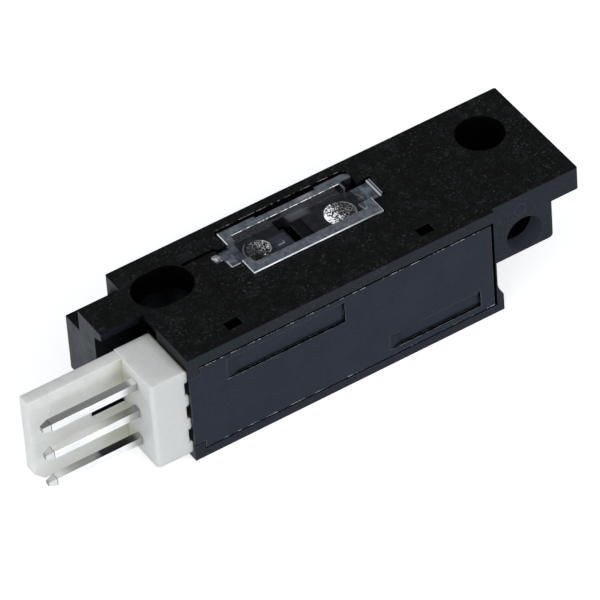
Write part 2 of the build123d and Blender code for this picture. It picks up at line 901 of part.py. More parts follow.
def solder_foot(height):
    """The solder along a pin's tail, which slopes from the board up the pin's two sides."""
    spread = pin_side / 2 + solder_foot_spread
    crest = pin_side / 2 + termination_step
    reach = board_front - pin_side + solder_foot_rise
    foot = prism_along_x(
        pin_tail - solder_foot_length,
        solder_foot_length + solder_foot_toe,
        (board_front, height - spread),
        (board_front, height + spread),
        (reach, height + crest),
        (reach, height - crest),
    )
    return foot - make_pin(height)


def make_header():
    """The header: its base, its rounded standoffs, and the friction wall with its slot."""
    bottom = pin_middle - header_height / 2
    top = bottom + header_height
    whole_depth = (header_front, header_back)
    base = block((-header_base, -standoff_height), whole_depth, (bottom, top))
    front_edges = base.edges().filter_by(Axis.Z).group_by(Axis.Y)[0]
    header = fillet(front_edges.group_by(Axis.X)[0], header_edge_radius)
    wall_front = header_back - lock_wall_thickness
    wall_top = top - lock_wall_top_step
    wall = block((left_end, root_depth - header_base), (wall_front, header_back), (bottom, wall_top))
    lower_corner = wall.edges().filter_by(Axis.Y).group_by(Axis.X)[0].group_by(Axis.Z)[0]
    header += chamfer(lower_corner, lock_wall_chamfer)
    spacing = (header_height - standoff_width) / pin_count
    for index in range(pin_count + 1):
        low = bottom + index * spacing
        standoff = block((-standoff_height - root_depth, 0), whole_depth, (low, low + standoff_width))
        header += fillet(standoff.edges().filter_by(Axis.Y).group_by(Axis.X)[-1], standoff_radius)
    header -= block(
        (-header_base - lock_slot_length, -header_base),
        (wall_front - overrun, header_back + overrun),
        around(pin_middle, lock_slot_height),
    )
    for height in pin_heights:
        header -= make_pin(height)
    return header


def make_parts():
    """Every piece under its node name."""
    parts = {
        "housing": make_housing(),
        "side_cover": make_side_cover(),
        "lens_window": make_window(),
        "light_shield": make_light_shield(),
        "circuit_board": make_board(),
        "plug_header": make_header(),
    }
    for (name, x, lead_count), die_side in zip(devices, (emitter_die_side, receiver_die_side)):
        parts.update(make_optical_device(name, x, lead_count, die_side))
        for number, place in enumerate(lead_places(x, lead_count), start=1):
            parts[f"{name}_solder_{number}"] = solder_cone(place)
    parts.update(make_amplifier())
    parts.update(make_small_parts())
    for number, height in enumerate(pin_heights, start=1):
        parts[f"header_pin_{number}"] = make_pin(height)
        parts[f"header_solder_{number}"] = solder_foot(height)
    return parts


os.makedirs("parts", exist_ok=True)
for node, shape in make_parts().items():
    export_step(origin_shift * shape, f"parts/{node}.step")
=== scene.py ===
import json
import math

import bmesh
import bpy
from mathutils import Matrix, Vector
from mathutils import noise as mathutils_noise


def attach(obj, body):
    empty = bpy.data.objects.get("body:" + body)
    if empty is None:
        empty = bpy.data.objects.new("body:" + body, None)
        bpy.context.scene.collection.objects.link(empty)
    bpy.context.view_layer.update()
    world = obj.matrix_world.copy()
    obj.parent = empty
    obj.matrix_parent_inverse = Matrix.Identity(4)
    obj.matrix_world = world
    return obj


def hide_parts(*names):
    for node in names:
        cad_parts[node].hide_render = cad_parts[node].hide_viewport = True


# Looks of the reflective optical sensor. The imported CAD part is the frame: this script gives its pieces
# better surfaces, stands in for five of them with rounded edges, and adds the floor, the lamps and the
# camera. Blender counts in metres. Places named here are in millimetres from the housing's lower left
# front corner, and where two numbers are a middle and its reach to either side, that is said.

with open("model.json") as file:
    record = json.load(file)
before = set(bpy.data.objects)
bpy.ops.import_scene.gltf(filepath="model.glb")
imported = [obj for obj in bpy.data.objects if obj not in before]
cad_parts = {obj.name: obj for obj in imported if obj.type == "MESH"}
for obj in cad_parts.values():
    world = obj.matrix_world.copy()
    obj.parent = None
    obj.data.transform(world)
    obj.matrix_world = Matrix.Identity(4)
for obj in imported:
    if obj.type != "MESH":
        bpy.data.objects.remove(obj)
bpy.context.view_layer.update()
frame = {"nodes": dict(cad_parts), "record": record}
nodes = frame["nodes"]
MM = 0.001
UP = (0, 0, 1)

# The frame's origin, from the housing's corner
ORIGIN_X, ORIGIN_Y = 10.6, 5.15

# Top face of the housing
TOP_Z = 9.2

# Screw holes and nut slot, painted black inside as shade; the nut slot's Y and Z are middle and reach
SCREW_HOLE_X, SCREW_LINE, HOLE_RIM = 27.9, 7.05, 1.73
SLOT_X, SLOT_HALF_TRAVEL = 2.5, 0.5
NUT_SLOT_LEFT, NUT_SLOT_Y, NUT_SLOT_Z = 24.1, (5.36, 3.7), (5.85, 1.5)

# The gap behind the window, painted black as shade, and the painted highlight line along its far edge: middle and
# reach
GAP_X, GAP_Y, GAP_LINE_Y = (13.15, 5.05), (9.42, 0.085), (9.52, 0.015)

# The bracket's cross hole, whose wall is painted as lit, and the depth of the cheek around it as middle and reach,
# and the ejector mark
CROSS_HOLE_X, CROSS_HOLE_Z, CROSS_HOLE_RADIUS, CHEEK_Y = 26.8, 5.65, 1.4, (0.98, 0.62)
EJECTOR_X, EJECTOR_Z, EJECTOR_RADIUS = 26.6, 7.95, 0.47

# Side cover: bottom and top seam, where its hooks begin, above which it is painted black as shade, and the slopes of
# its recesses, painted a little darker as shade, as middle and reach
COVER_Z, COVER_FACE_Y, HOOK_Z = (0.75, 8.2), 0.12, 8.25
RECESS_DEPTH, RECESS_Y = 0.3, (0.19, 0.15)
RECESS_SLOPES_X = ((3.45, 0.55), (16.05, 0.55))

# Plug header: its base, whose sides are painted darker as shade, begins at a left and ends at a back, and its lock
# slot, painted black as shade, is middle and reach in X and Z
BASE_LEFT, BASE_BACK = -2.85, 3.9
LOCK_SLOT_X, LOCK_SLOT_Y, LOCK_SLOT_Z = (-4.1, 1.29), (3.92, 4.78), (4.475, 0.3)

# Pins: where the CAD's shank ends and where the tip begins here, its flat end, and the heights between them
SHANK_END_X, PIN_TIP_X, PIN_FLAT_X = -9.1, -9.42, -10.02
LOWER_PIN_GAP_Z, UPPER_PIN_GAP_Z = 2.6, 6.0
PIN_START_X, PIN_LENGTH = -10.1, 8.0

# Window: its outline, the well in its rim, and the lip at the end of its right tab
WINDOW_X, WINDOW_Y, WINDOW_Z, WINDOW_MIDDLE = (8.1, 18.4), (4.45, 9.25), (8.0, 9.32), 13.25
WELL_X, WELL_BACK, WELL_FLOOR = (8.7, 17.35), 8.4, 8.9
LIP_X = (19.14, 19.4)
# The pad on its floor and the mark on the pad, with heights as middle and reach
PAD_Z, MARK_X, MARK_Z = (8.94, 0.005), (11.3, 0.27), (8.98, 0.02)
# The torn gate on its left tab: middle, and half its size each way
GATE_MIDDLE, GATE_HALVES = (6.88, 7.36, 9.0), (0.4, 0.27, 0.26)
# Where the two lenses show in the window's floor: middle, radius, how densely and how one-sidedly
# their painted grains of gathered light lie, and how bright the painted net of lines on them is
LENSES = [(9.85, 6.6, 0.88, -0.14, -0.06, 0.34), (16.14, 6.3, 1.18, -0.075, 0.2, 0.16)]

# Darkest and palest tones of the window's parts
FLOOR_TONES = ((0.003, 0.004, 0.007), (0.02, 0.026, 0.036))
RIM_TONES = ((0.065, 0.078, 0.10), (0.19, 0.21, 0.25))
TAB_TONES = ((0.03, 0.042, 0.06), (0.21, 0.245, 0.29))
STUB_TONES = ((0.22, 0.24, 0.27), (0.7, 0.73, 0.76))
LENS_TONES = ((0.003, 0.004, 0.006), (0.03, 0.034, 0.04))

# How the replaced pieces differ from their nodes, in millimetres
BACK_DRAWN_IN, TAB_CORNER_CUT, TAB_CORNER_BEHIND, RECESS_RAISED = 0.15, 0.22, 7.2, 0.12
CLOSE = 0.01 * MM


def at(x, y, z):
    """A point given in millimetres from the housing's lower left front corner, in the frame."""
    return Vector(((x - ORIGIN_X) * MM, (y - ORIGIN_Y) * MM, z * MM))


# Shader nodes

def new_material(name):
    material = bpy.data.materials.new(name)
    material.use_nodes = True
    tree = material.node_tree
    for node in list(tree.nodes):
        tree.nodes.remove(node)
    return material, tree


def feed(tree, socket, value):
    """Links or sets a socket. A colour may leave out its alpha."""
    if isinstance(value, bpy.types.NodeSocket):
        tree.links.new(value, socket)
    elif socket.type == "RGBA" and len(value) == 3:
        socket.default_value = (*value, 1)
    else:
        socket.default_value = value


def add(tree, kind, **values):
    """A node with its settings and sockets given by name, or its sockets by number as i0, i1 and so on."""
    node = tree.nodes.new(kind)
    for key, value in values.items():
        if hasattr(node, key) and key not in node.inputs:
            setattr(node, key, value)
        elif key[0] == "i" and key[1:].isdigit():
            feed(tree, node.inputs[int(key[1:])], value)
        else:
            feed(tree, node.inputs[key.replace("_", " ")], value)
    return node


def position(tree, scale=(1, 1, 1)):
    """Object coordinates in millimetres, stretched by scale."""
    coords = add(tree, "ShaderNodeTexCoord").outputs["Object"]
    mapping = add(tree, "ShaderNodeMapping", Vector=coords, Scale=[s / MM for s in scale])
    return mapping.outputs["Vector"]


def noise(tree, vector, scale, detail=2.0, roughness=0.5):
    node = add(tree, "ShaderNodeTexNoise", Vector=vector, Scale=scale, Detail=detail, Roughness=roughness)
    return node.outputs["Fac"]


def ramp(tree, value, *stops):
    """A colour ramp from (place, colour) stops, where a colour may be one number."""
    node = add(tree, "ShaderNodeValToRGB", Fac=value)
    elements = node.color_ramp.elements
    while len(elements) < len(stops):
        elements.new(0.5)
    for element, (place, colour) in zip(elements, stops):
        element.position = place
        element.color = (colour, colour, colour, 1) if isinstance(colour, (int, float)) else (*colour, 1)
    return node.outputs["Color"]


def toned(tree, value, low, high, tones):
    """The first of two tones where a value is low, going over into the second where it is high."""
    return ramp(tree, value, (low, tones[0]), (high, tones[1]))


def bump(tree, height, strength, depth, edge):
    """A bumped normal, over edges rounded to a radius."""
    rounded = add(tree, "ShaderNodeBevel", Radius=edge, samples=6).outputs["Normal"]
    node = add(tree, "ShaderNodeBump", Height=height, Strength=strength, Distance=depth, Normal=rounded)
    return node.outputs["Normal"]


def principled(tree, **values):
    return add(tree, "ShaderNodeBsdfPrincipled", **values).outputs[0]


def mix_shaders(tree, amount, first, second):
    return add(tree, "ShaderNodeMixShader", i0=amount, i1=first, i2=second).outputs[0]


def output(tree, shader):
    add(tree, "ShaderNodeOutputMaterial", Surface=shader)


def blend_colour(tree, amount, first, second, blend_type="MIX"):
    """One colour going over into another by an amount from 0 to 1."""
    node = add(tree, "ShaderNodeMix", data_type="RGBA", blend_type=blend_type, i0=amount, i6=first, i7=second)
    return node.outputs[2]


def painted_black_shade(tree, amount, shader):
    """The shader, gone over to dead black by an amount, as painted shade."""
    black = add(tree, "ShaderNodeBsdfDiffuse", Color=(0.0015, 0.0015, 0.0018))
    return mix_shaders(tree, amount, shader, black.outputs[0])


# Numbers that vary over a surface

def math_node(tree, operation, first, second=0.0, clamp=False):
    node = add(tree, "ShaderNodeMath", operation=operation, i0=first, i1=second, use_clamp=clamp)
    return node.outputs[0]


def combined(tree, operation, values):
    result = values[0]
    for value in values[1:]:
        result = math_node(tree, operation, result, value)
    return result


def product(tree, *values):
    return combined(tree, "MULTIPLY", values)


def greatest(tree, *values):
    return combined(tree, "MAXIMUM", values)


def inverse(tree, value):
    """1 where a value is 0, and 0 where it is 1."""
    return math_node(tree, "SUBTRACT", 1.0, value)


def above(tree, value, limit):
    """1 where a value is over a limit, and 0 elsewhere."""
    return math_node(tree, "GREATER_THAN", value, limit)


def below(tree, value, limit):
    """1 where a value is under a limit, and 0 elsewhere."""
    return math_node(tree, "LESS_THAN", value, limit)


def away_from(tree, value, middle):
    """How far a value is from a middle, to either side."""
    return math_node(tree, "ABSOLUTE", math_node(tree, "SUBTRACT", value, middle))


def nearness(tree, value, middle, reach, soft=0.03):
    """1 where a value is within reach of a middle, falling to 0 over a soft width beyond it."""
    inside = math_node(tree, "SUBTRACT", reach + soft, away_from(tree, value, middle))
    return math_node(tree, "DIVIDE", inside, soft, clamp=True)


def line_along(tree, value, place, half_width):
    """1 on a narrow band about a place."""
    return nearness(tree, value, place, half_width, 0.015)


def distance(tree, first, first_middle, second, second_middle):
    a = math_node(tree, "SUBTRACT", first, first_middle)
    b = math_node(tree, "SUBTRACT", second, second_middle)
    squares = math_node(tree, "ADD", product(tree, a, a), product(tree, b, b))
    return math_node(tree, "SQRT", squares)


def dot(tree, first, second):
    return add(tree, "ShaderNodeVectorMath", operation="DOT_PRODUCT", i0=first, i1=second).outputs["Value"]


def axis_values(tree, vector):
    """The three values of a vector in millimetres, from the housing's lower left front corner."""
    split = add(tree, "ShaderNodeSeparateXYZ", Vector=vector)
    x = math_node(tree, "ADD", split.outputs["X"], ORIGIN_X)
    y = math_node(tree, "ADD", split.outputs["Y"], ORIGIN_Y)
    return x, y, split.outputs["Z"]


def turned(tree, towards):
    """1 on faces that look along a direction, and 0 on the others."""
    normal = add(tree, "ShaderNodeNewGeometry").outputs["True Normal"]
    return above(tree, dot(tree, normal, towards), 0.7)


def lit_edges(tree, radius):
    """1 along edges that look to the front or the left, where a rounded edge catches the lamps."""
    rounded = add(tree, "ShaderNodeBevel", Radius=radius, samples=8).outputs["Normal"]
    flat = add(tree, "ShaderNodeNewGeometry").outputs["True Normal"]
    edge = ramp(tree, inverse(tree, dot(tree, rounded, flat)), (0.02, 0.0), (0.12, 1.0))
    to_lamps = dot(tree, rounded, (-0.6, -0.8, 0.0))
    return product(tree, edge, ramp(tree, to_lamps, (0.2, 0.0), (0.4, 1.0)))


def cavity_shade(tree, alone):
    """Painted shade: 1 deep inside holes and slots and 0 on open faces, by how far the piece alone, or all of them,
    shut it off.
    """
    openness = add(tree, "ShaderNodeAmbientOcclusion", Distance=3.5 * MM, samples=8, only_local=alone)
    return ramp(tree, openness.outputs["AO"], (0.5, 1.0), (0.7, 0.0))


# Black plastic

def black_plastic(name, tones, speck, roughness, grain, details, shaded_sides=None, alone=True):
    """Black moulded plastic with a fine spark-eroded grain, and paler specks that lie in loose patches.

    details adds what only this piece has, to its colour and to where it goes over to black as painted shade.
    The tones given for the faces that don't look up, where they differ, are darker, bluer painted shade, and on
    those faces the paler specks are fainter. alone tells whether only the piece itself, and not its neighbours,
    blackens its cavities with painted shade.
    """
    material, tree = new_material(name)
    where = position(tree)
    edge = 0.06 * MM
    fine = noise(tree, where, 6.0, 3.0, 0.65)
    patches = ramp(tree, noise(tree, where, 0.45, 3.0), (0.4, 0.35), (0.65, 1.0))
    dots = ramp(tree, noise(tree, where, 5.5, 1.0), (0.60, 0.0), (0.74, 1.0))
    dust = ramp(tree, noise(tree, where, 11.0, 2.0), (0.60, 0.0), (0.72, 0.7))
    smears = ramp(tree, noise(tree, where, 1.6, 4.0, 0.6), (0.5, 0.0), (0.75, 0.35))
    paler = product(tree, greatest(tree, dots, dust, smears), patches)
    body = toned(tree, fine, 0.35, 0.65, tones)
    # Painted shade: faces that don't look up get darker, bluer tones, and fainter specks.
    if shaded_sides:
        on_top = turned(tree, UP)
        body = blend_colour(tree, on_top, toned(tree, fine, 0.35, 0.65, shaded_sides), body)
        paler = product(tree, paler, math_node(tree, "ADD", product(tree, on_top, 0.55), 0.45))
    colour = blend_colour(tree, paler, body, speck)
    colour, shade_and_seams = details(tree, where, edge, colour, cavity_shade(tree, alone))
    rough = ramp(tree, noise(tree, where, 0.8, 4.0, 0.65), (0.3, roughness - 0.07), (0.7, roughness + 0.08))
    normal = bump(tree, fine, grain, 0.04 * MM, edge)
    shader = principled(tree, Base_Color=colour, Roughness=rough, Normal=normal, IOR=1.4,
                        Specular_Tint=(0.52, 0.69, 1.0), Specular_IOR_Level=0.42)
    # Painted shade goes over to dead black deep in cavities and the other shaded places, together with the cover's
    # dark seams.
    output(tree, painted_black_shade(tree, shade_and_seams, shader))
    return material


def screw_hole_insides(tree, x, y, z):
    """1 inside the two screw holes, on their broken rims and in the nut slot, and 0 elsewhere: where they are
    painted black as shade.
    """
    beyond_travel = math_node(tree, "SUBTRACT", away_from(tree, x, SLOT_X), SLOT_HALF_TRAVEL)
    from_slot = distance(tree, greatest(tree, beyond_travel, 0.0), 0.0, y, SCREW_LINE)
    from_hole = distance(tree, x, SCREW_HOLE_X, y, SCREW_LINE)
    slot, hole = (nearness(tree, away, 0.0, HOLE_RIM, 0.04) for away in (from_slot, from_hole))
    nut_slot = product(tree, above(tree, x, NUT_SLOT_LEFT), nearness(tree, y, *NUT_SLOT_Y),
                       nearness(tree, z, *NUT_SLOT_Z))
    return greatest(tree, slot, hole, nut_slot)


def housing_details(tree, where, edge, colour, shade_and_seams):
    """The cross hole's wall painted as lit, the ejector mark, painted black shade in the holes and in the gap behind
    the window, and a painted highlight line along the gap's far edge.
    """
    x, y, z = axis_values(tree, where)
    from_cross_hole = distance(tree, x, CROSS_HOLE_X, z, CROSS_HOLE_Z)
    # Painted light: the cross hole's wall is painted as pale as the lit front face, and kept out of the painted
    # shade.
    lit_bore_wall = product(tree, nearness(tree, from_cross_hole, CROSS_HOLE_RADIUS, 0.04), nearness(tree, y, *CHEEK_Y))
    colour = blend_colour(tree, lit_bore_wall, colour, (0.047, 0.054, 0.071))
    from_ejector = distance(tree, x, EJECTOR_X, z, EJECTOR_Z)
    ring = product(tree, line_along(tree, from_ejector, EJECTOR_RADIUS, 0.025), below(tree, y, 0.5), 0.6)
    colour = blend_colour(tree, ring, colour, (0.035, 0.04, 0.055))
    # Painted shade in the gap behind the window, and a beaded painted highlight along its far edge.
    beside = product(tree, nearness(tree, x, *GAP_X), above(tree, z, TOP_Z - 0.02))
    gap = product(tree, nearness(tree, y, *GAP_Y, 0.02), beside)
    beads = ramp(tree, noise(tree, where, 3.0, 2.0, 0.6), (0.46, 0.0), (0.6, 1.0))
    painted_highlight_line = product(tree, nearness(tree, y, *GAP_LINE_Y, 0.015), beside, beads)
    colour = blend_colour(tree, painted_highlight_line, colour, (0.6, 0.62, 0.65))
    shade_and_seams = greatest(tree, shade_and_seams, screw_hole_insides(tree, x, y, z), gap)
    return colour, product(tree, shade_and_seams, inverse(tree, lit_bore_wall))


def cover_details(tree, where, edge, colour, shade_and_seams):
    """Blotches, patchy painted highlights on edges that face the lamps, the seams with their broken painted glints,
    and painted shade in the hooks and on the recesses' slopes.
    """
    x, y, z = axis_values(tree, where)
    bottom_seam, top_seam = COVER_Z
    on_front = below(tree, y, COVER_FACE_Y)
    blotches = ramp(tree, noise(tree, where, 0.5, 5.0, 0.7), (0.42, 0.0), (0.62, 1.0))
    colour = blend_colour(tree, blotches, colour, (0.0065, 0.009, 0.0145))
    broken = ramp(tree, noise(tree, where, 2.2, 2.0), (0.4, 0.15), (0.62, 1.0))
    # Painted highlight: edges that face the lamps, broken into patches, go pale.
    patchy_glint = product(tree, lit_edges(tree, edge), broken, 0.5)
    colour = blend_colour(tree, patchy_glint, colour, (0.75, 0.78, 0.8))
    # Painted highlights: broken glints just inside the seams on the front face.
    dashes = ramp(tree, noise(tree, where, 1.4, 4.0, 0.75), (0.52, 0.0), (0.6, 0.9))
    glints = greatest(tree, line_along(tree, z, top_seam - 0.11, 0.015),
                      line_along(tree, z, bottom_seam + 0.08, 0.02))
    colour = blend_colour(tree, product(tree, glints, on_front, dashes), colour, (0.55, 0.57, 0.6))
    seams = greatest(tree, line_along(tree, z, top_seam, 0.075), line_along(tree, z, bottom_seam, 0.05))
    # Painted shade: the recesses' slopes go a little darker, and the cover above where its hooks begin goes black.
    slopes = greatest(tree, *(nearness(tree, x, *slope, 0.1) for slope in RECESS_SLOPES_X))
    slopes = product(tree, slopes, nearness(tree, y, *RECESS_Y, 0.02), 0.24)
    hooks = above(tree, z, HOOK_Z)
    return colour, greatest(tree, shade_and_seams, product(tree, seams, on_front), hooks, slopes)


def baffle_details(tree, where, edge, colour, shade_and_seams):
    """A painted highlight along the edge of the baffle that stands in the window's slot, kept out of the painted
    shade.
    """
    x, y, z = axis_values(tree, where)
    edge_light = product(tree, line_along(tree, z, WELL_FLOOR - 0.16, 0.02), above(tree, x, 12.5),
                         turned(tree, (-1, 0, 0)))
    colour = blend_colour(tree, product(tree, edge_light, 0.7), colour, (0.25, 0.26, 0.25))
    return colour, product(tree, shade_and_seams, inverse(tree, edge_light))


# Nylon, metal and the plain materials

def white_nylon():
    """Natural nylon: slightly warm, soft at its edges, with faint clouds and a fine grain, and painted shade on the
    base's sides, in its corners and in the black lock slot.
    """
    material, tree = new_material("header_nylon_look")
    where = position(tree)
    x, y, z = axis_values(tree, where)
    colour = toned(tree, noise(tree, where, 0.9, 4.0), 0.3, 0.7, ((0.77, 0.79, 0.775), (0.85, 0.865, 0.855)))
    # Painted shade: the base's faces that don't look up are darker.
    shaded_base_sides = product(tree, above(tree, x, BASE_LEFT), below(tree, y, BASE_BACK), inverse(tree, turned(tree, UP)))
    colour = blend_colour(tree, shaded_base_sides, colour, (0.72, 0.74, 0.74))
    grain = ramp(tree, noise(tree, where, 7.0, 3.0, 0.7), (0.35, 0.0), (0.65, 0.22))
    colour = blend_colour(tree, grain, colour, (0.52, 0.54, 0.54))
    # Painted shade: corners that ambient occlusion finds go darker and yellower.
    openness = add(tree, "ShaderNodeAmbientOcclusion", Distance=2.5 * MM, samples=8).outputs["AO"]
    corners = ramp(tree, openness, (0.35, 0.8), (0.75, 0.0))
    colour = blend_colour(tree, corners, colour, (0.60, 0.60, 0.47))
    # Painted shade: the lock slot goes over to dead black.
    lock_slot_shade = product(tree, nearness(tree, x, *LOCK_SLOT_X, 0.02), nearness(tree, z, *LOCK_SLOT_Z, 0.02),
                        above(tree, y, LOCK_SLOT_Y[0]), below(tree, y, LOCK_SLOT_Y[1]))
    normal = bump(tree, noise(tree, where, 4.0, 3.0), 0.15, 0.04 * MM, 0.12 * MM)
    shader = principled(tree, Base_Color=colour, Roughness=0.4, Normal=normal, IOR=1.5, Subsurface_Weight=0.7,
                        Subsurface_Radius=(1.0, 1.0, 0.85), Subsurface_Scale=0.8 * MM)
    output(tree, painted_black_shade(tree, lock_slot_shade, shader))
    return material


def pin_tint(tree, tint):
    """A pin's tint with its cut tip darker, and dimmed along its length by painted reflections of what its faces
    would mirror.
    """
    x, y, z = axis_values(tree, position(tree))
    tip = product(tree, below(tree, x, PIN_TIP_X), 0.3)
    edges = greatest(tree, below(tree, x, PIN_FLAT_X), line_along(tree, x, PIN_TIP_X - 0.01, 0.02))
    tint = blend_colour(tree, greatest(tree, tip, edges), tint, (0.26, 0.26, 0.25))
    # Painted reflection: bands along each pin, one set for faces that look up, one each for the middle and lowest
    # pin, and none for the upper pin's other faces.
    along = math_node(tree, "SUBTRACT", x, PIN_START_X)
    along = math_node(tree, "DIVIDE", along, PIN_LENGTH, clamp=True)
    front = ramp(tree, along, (0.737, 1.0), (0.825, 0.64), (0.91, 0.5))
    middle_pin = ramp(tree, along, (0.48, 1.0), (0.7, 0.56), (0.825, 0.4), (0.91, 0.42))
    lowest_pin = ramp(tree, along, (0.13, 1.0), (0.24, 0.55), (0.35, 0.42), (0.5, 0.4), (0.535, 0.06),
                      (0.76, 0.05), (0.85, 0.12), (0.91, 0.6))
    mirrored = blend_colour(tree, below(tree, z, LOWER_PIN_GAP_Z), middle_pin, lowest_pin)
    mirrored = blend_colour(tree, above(tree, z, UPPER_PIN_GAP_Z), mirrored, (1.0, 1.0, 1.0))
    mirrored = blend_colour(tree, turned(tree, UP), front, mirrored)
    return blend_colour(tree, 1.0, tint, mirrored, "MULTIPLY")


def metal(name, colour, roughness, stretch, is_pin=False):
    """Plated metal with fine streaks along one axis, and on the pins painted reflections."""
    material, tree = new_material(name)
    streaks = noise(tree, position(tree, stretch), 4.0, 4.0, 0.6)
    tint = toned(tree, streaks, 0.3, 0.6, ([0.85 * c for c in colour], colour))
    if is_pin:
        tint = pin_tint(tree, tint)
    rough = ramp(tree, streaks, (0.25, roughness + 0.12), (0.75, roughness))
    normal = bump(tree, streaks, 0.08, 0.01 * MM, 0.015 * MM)
    output(tree, principled(tree, Base_Color=tint, Metallic=0.9, Roughness=rough, Normal=normal))
    return material


def clear_plastic(name, tint, milk):
    """See-through, glossy where it turns away, and milky by an amount that varies."""
    material, tree = new_material(name)
    ripple = noise(tree, position(tree), 1.2, 2.0)
    normal = bump(tree, ripple, 0.12, 0.1 * MM, 0.05 * MM)
    through = add(tree, "ShaderNodeBsdfTransparent", Color=(0.97, 0.98, 1.0))
    shine = add(tree, "ShaderNodeBsdfGlossy", Roughness=0.12, Normal=normal)
    fresnel = add(tree, "ShaderNodeFresnel", IOR=1.5, Normal=normal)
    surface = mix_shaders(tree, fresnel.outputs[0], through.outputs[0], shine.outputs[0])
    haze = principled(tree, Base_Color=tint, Roughness=0.3, Normal=normal, IOR=1.4)
    output(tree, mix_shaders(tree, ramp(tree, ripple, (0.3, milk * 0.6), (0.7, milk * 1.4)), surface, haze))
    return material


def mottled(name, first, second, roughness, scale=3.0):
    """A plain solid surface with gentle variation."""
    material, tree = new_material(name)
    pattern = noise(tree, position(tree), scale, 3.0)
    colour = toned(tree, pattern, 0.35, 0.65, (first, second))
    normal = bump(tree, pattern, 0.15, 0.02 * MM, 0.04 * MM)
    output(tree, principled(tree, Base_Color=colour, Roughness=roughness, Normal=normal))
    return material


# The clear window

def window_tones(tree, where, x, y, z, on_rim, on_stub, on_lip):
    """The window's smoky colours, part by part, with painted shade in its key corner and painted glows on its floor
    and rim, before the painted highlights of its edges and lenses.
    """
    swirl = noise(tree, where, 1.7, 4.0, 0.6)
    colour = toned(tree, swirl, 0.35, 0.7, FLOOR_TONES)
    rim_tone = toned(tree, noise(tree, where, 2.6, 4.0, 0.65), 0.32, 0.7, RIM_TONES)
    colour = blend_colour(tree, on_rim, colour, rim_tone)
    off_middle = away_from(tree, x, WINDOW_MIDDLE)
    beside_rim = product(tree, above(tree, off_middle, 4.6), inverse(tree, on_rim), 0.6)
    on_tab = greatest(tree, above(tree, off_middle, 5.2), beside_rim)
    colour = blend_colour(tree, on_tab, colour, toned(tree, swirl, 0.35, 0.7, TAB_TONES))
    # Painted shade: the walls in the key corner go nearly black.
    key_corner_shade = product(tree, above(tree, x, 16.9), above(tree, y, 8.2), inverse(tree, turned(tree, UP)), 0.85)
    pad = nearness(tree, z, *PAD_Z, 0.005)
    mark = product(tree, nearness(tree, z, *MARK_Z, 0.005), nearness(tree, x, *MARK_X))
    # Painted light: a pale glow about the middle of the floor's back, and a pale patch on the back of the rim.
    floor_glow = product(tree, nearness(tree, x, 13.7, 0.5, 0.5), nearness(tree, y, 7.95, 0.2, 0.3), 0.5)
    rim_glow = product(tree, nearness(tree, x, 14.8, 0.4, 0.4), nearness(tree, y, 8.78, 0.1, 0.2), on_rim, 0.45)
    stub_tone = toned(tree, noise(tree, where, 3.5, 2.0), 0.4, 0.6, STUB_TONES)
    for amount, tone in (
        (key_corner_shade, (0.004, 0.004, 0.006)),
        (pad, (0.034, 0.038, 0.062)),
        (mark, (0.05, 0.055, 0.08)),
        (floor_glow, (0.17, 0.19, 0.22)),
        (rim_glow, (0.42, 0.45, 0.47)),
        (on_lip, (0.10, 0.12, 0.14)),
        (on_stub, stub_tone),
    ):
        colour = blend_colour(tree, amount, colour, tone)
    return colour


def window_edge_light(tree, where, x, y, z):
    """Painted highlights on edges: the front, left and right ones whole, the inner back one broken up."""
    strongest_part = greatest(tree, nearness(tree, x, 11.5, 2.2, 5.0), 0.25)
    front = product(tree, line_along(tree, y, WINDOW_Y[0], 0.03), strongest_part)
    left = product(tree, line_along(tree, x, WINDOW_X[0], 0.035), 0.6)
    right = product(tree, line_along(tree, x, WINDOW_X[1], 0.03), below(tree, y, 7.2), 0.5)
    beads = ramp(tree, noise(tree, where, 4.5, 1.0), (0.45, 0.15), (0.55, 1.0))
    back = product(tree, line_along(tree, y, WELL_BACK, 0.01), beads, above(tree, x, WELL_X[0]),
                   below(tree, x, WELL_X[1]), above(tree, z, WINDOW_Z[1] - 0.045))
    upper = above(tree, z, WINDOW_Z[1] - 0.09)
    patchy_glint = ramp(tree, noise(tree, where, 0.8, 3.0), (0.35, 0.65), (0.55, 1.0))
    return product(tree, greatest(tree, front, left, right, back), upper, patchy_glint)


def lens_sparkle(tree, where, x, from_middle, lens):
    """The painted grains of gathered light on one lens under the window, closer together towards one side, with a
    painted net of lines and a painted highlight on its rim.
    """
    middle_x, middle_y, radius, dense, one_sided, net_light = lens
    across = math_node(tree, "DIVIDE", math_node(tree, "SUBTRACT", x, middle_x), radius)
    level = math_node(tree, "ADD", noise(tree, where, 7.5, 2.0, 0.75), product(tree, across, -one_sided))
    grains = ramp(tree, math_node(tree, "ADD", level, dense), (0.49, 0.0), (0.57, 1.0))
    cells = add(tree, "ShaderNodeTexVoronoi", Vector=where, Scale=3.4, feature="DISTANCE_TO_EDGE", Randomness=1.0)
    lines = ramp(tree, cells.outputs["Distance"], (0.015, net_light), (0.07, 0.0))
    net = product(tree, lines, ramp(tree, noise(tree, where, 1.4, 2.0), (0.42, 0.3), (0.58, 1.3)))
    rim = product(tree, line_along(tree, from_middle, radius - 0.1, 0.03), above(tree, across, 0.45), 0.2)
    return greatest(tree, grains, net, rim)


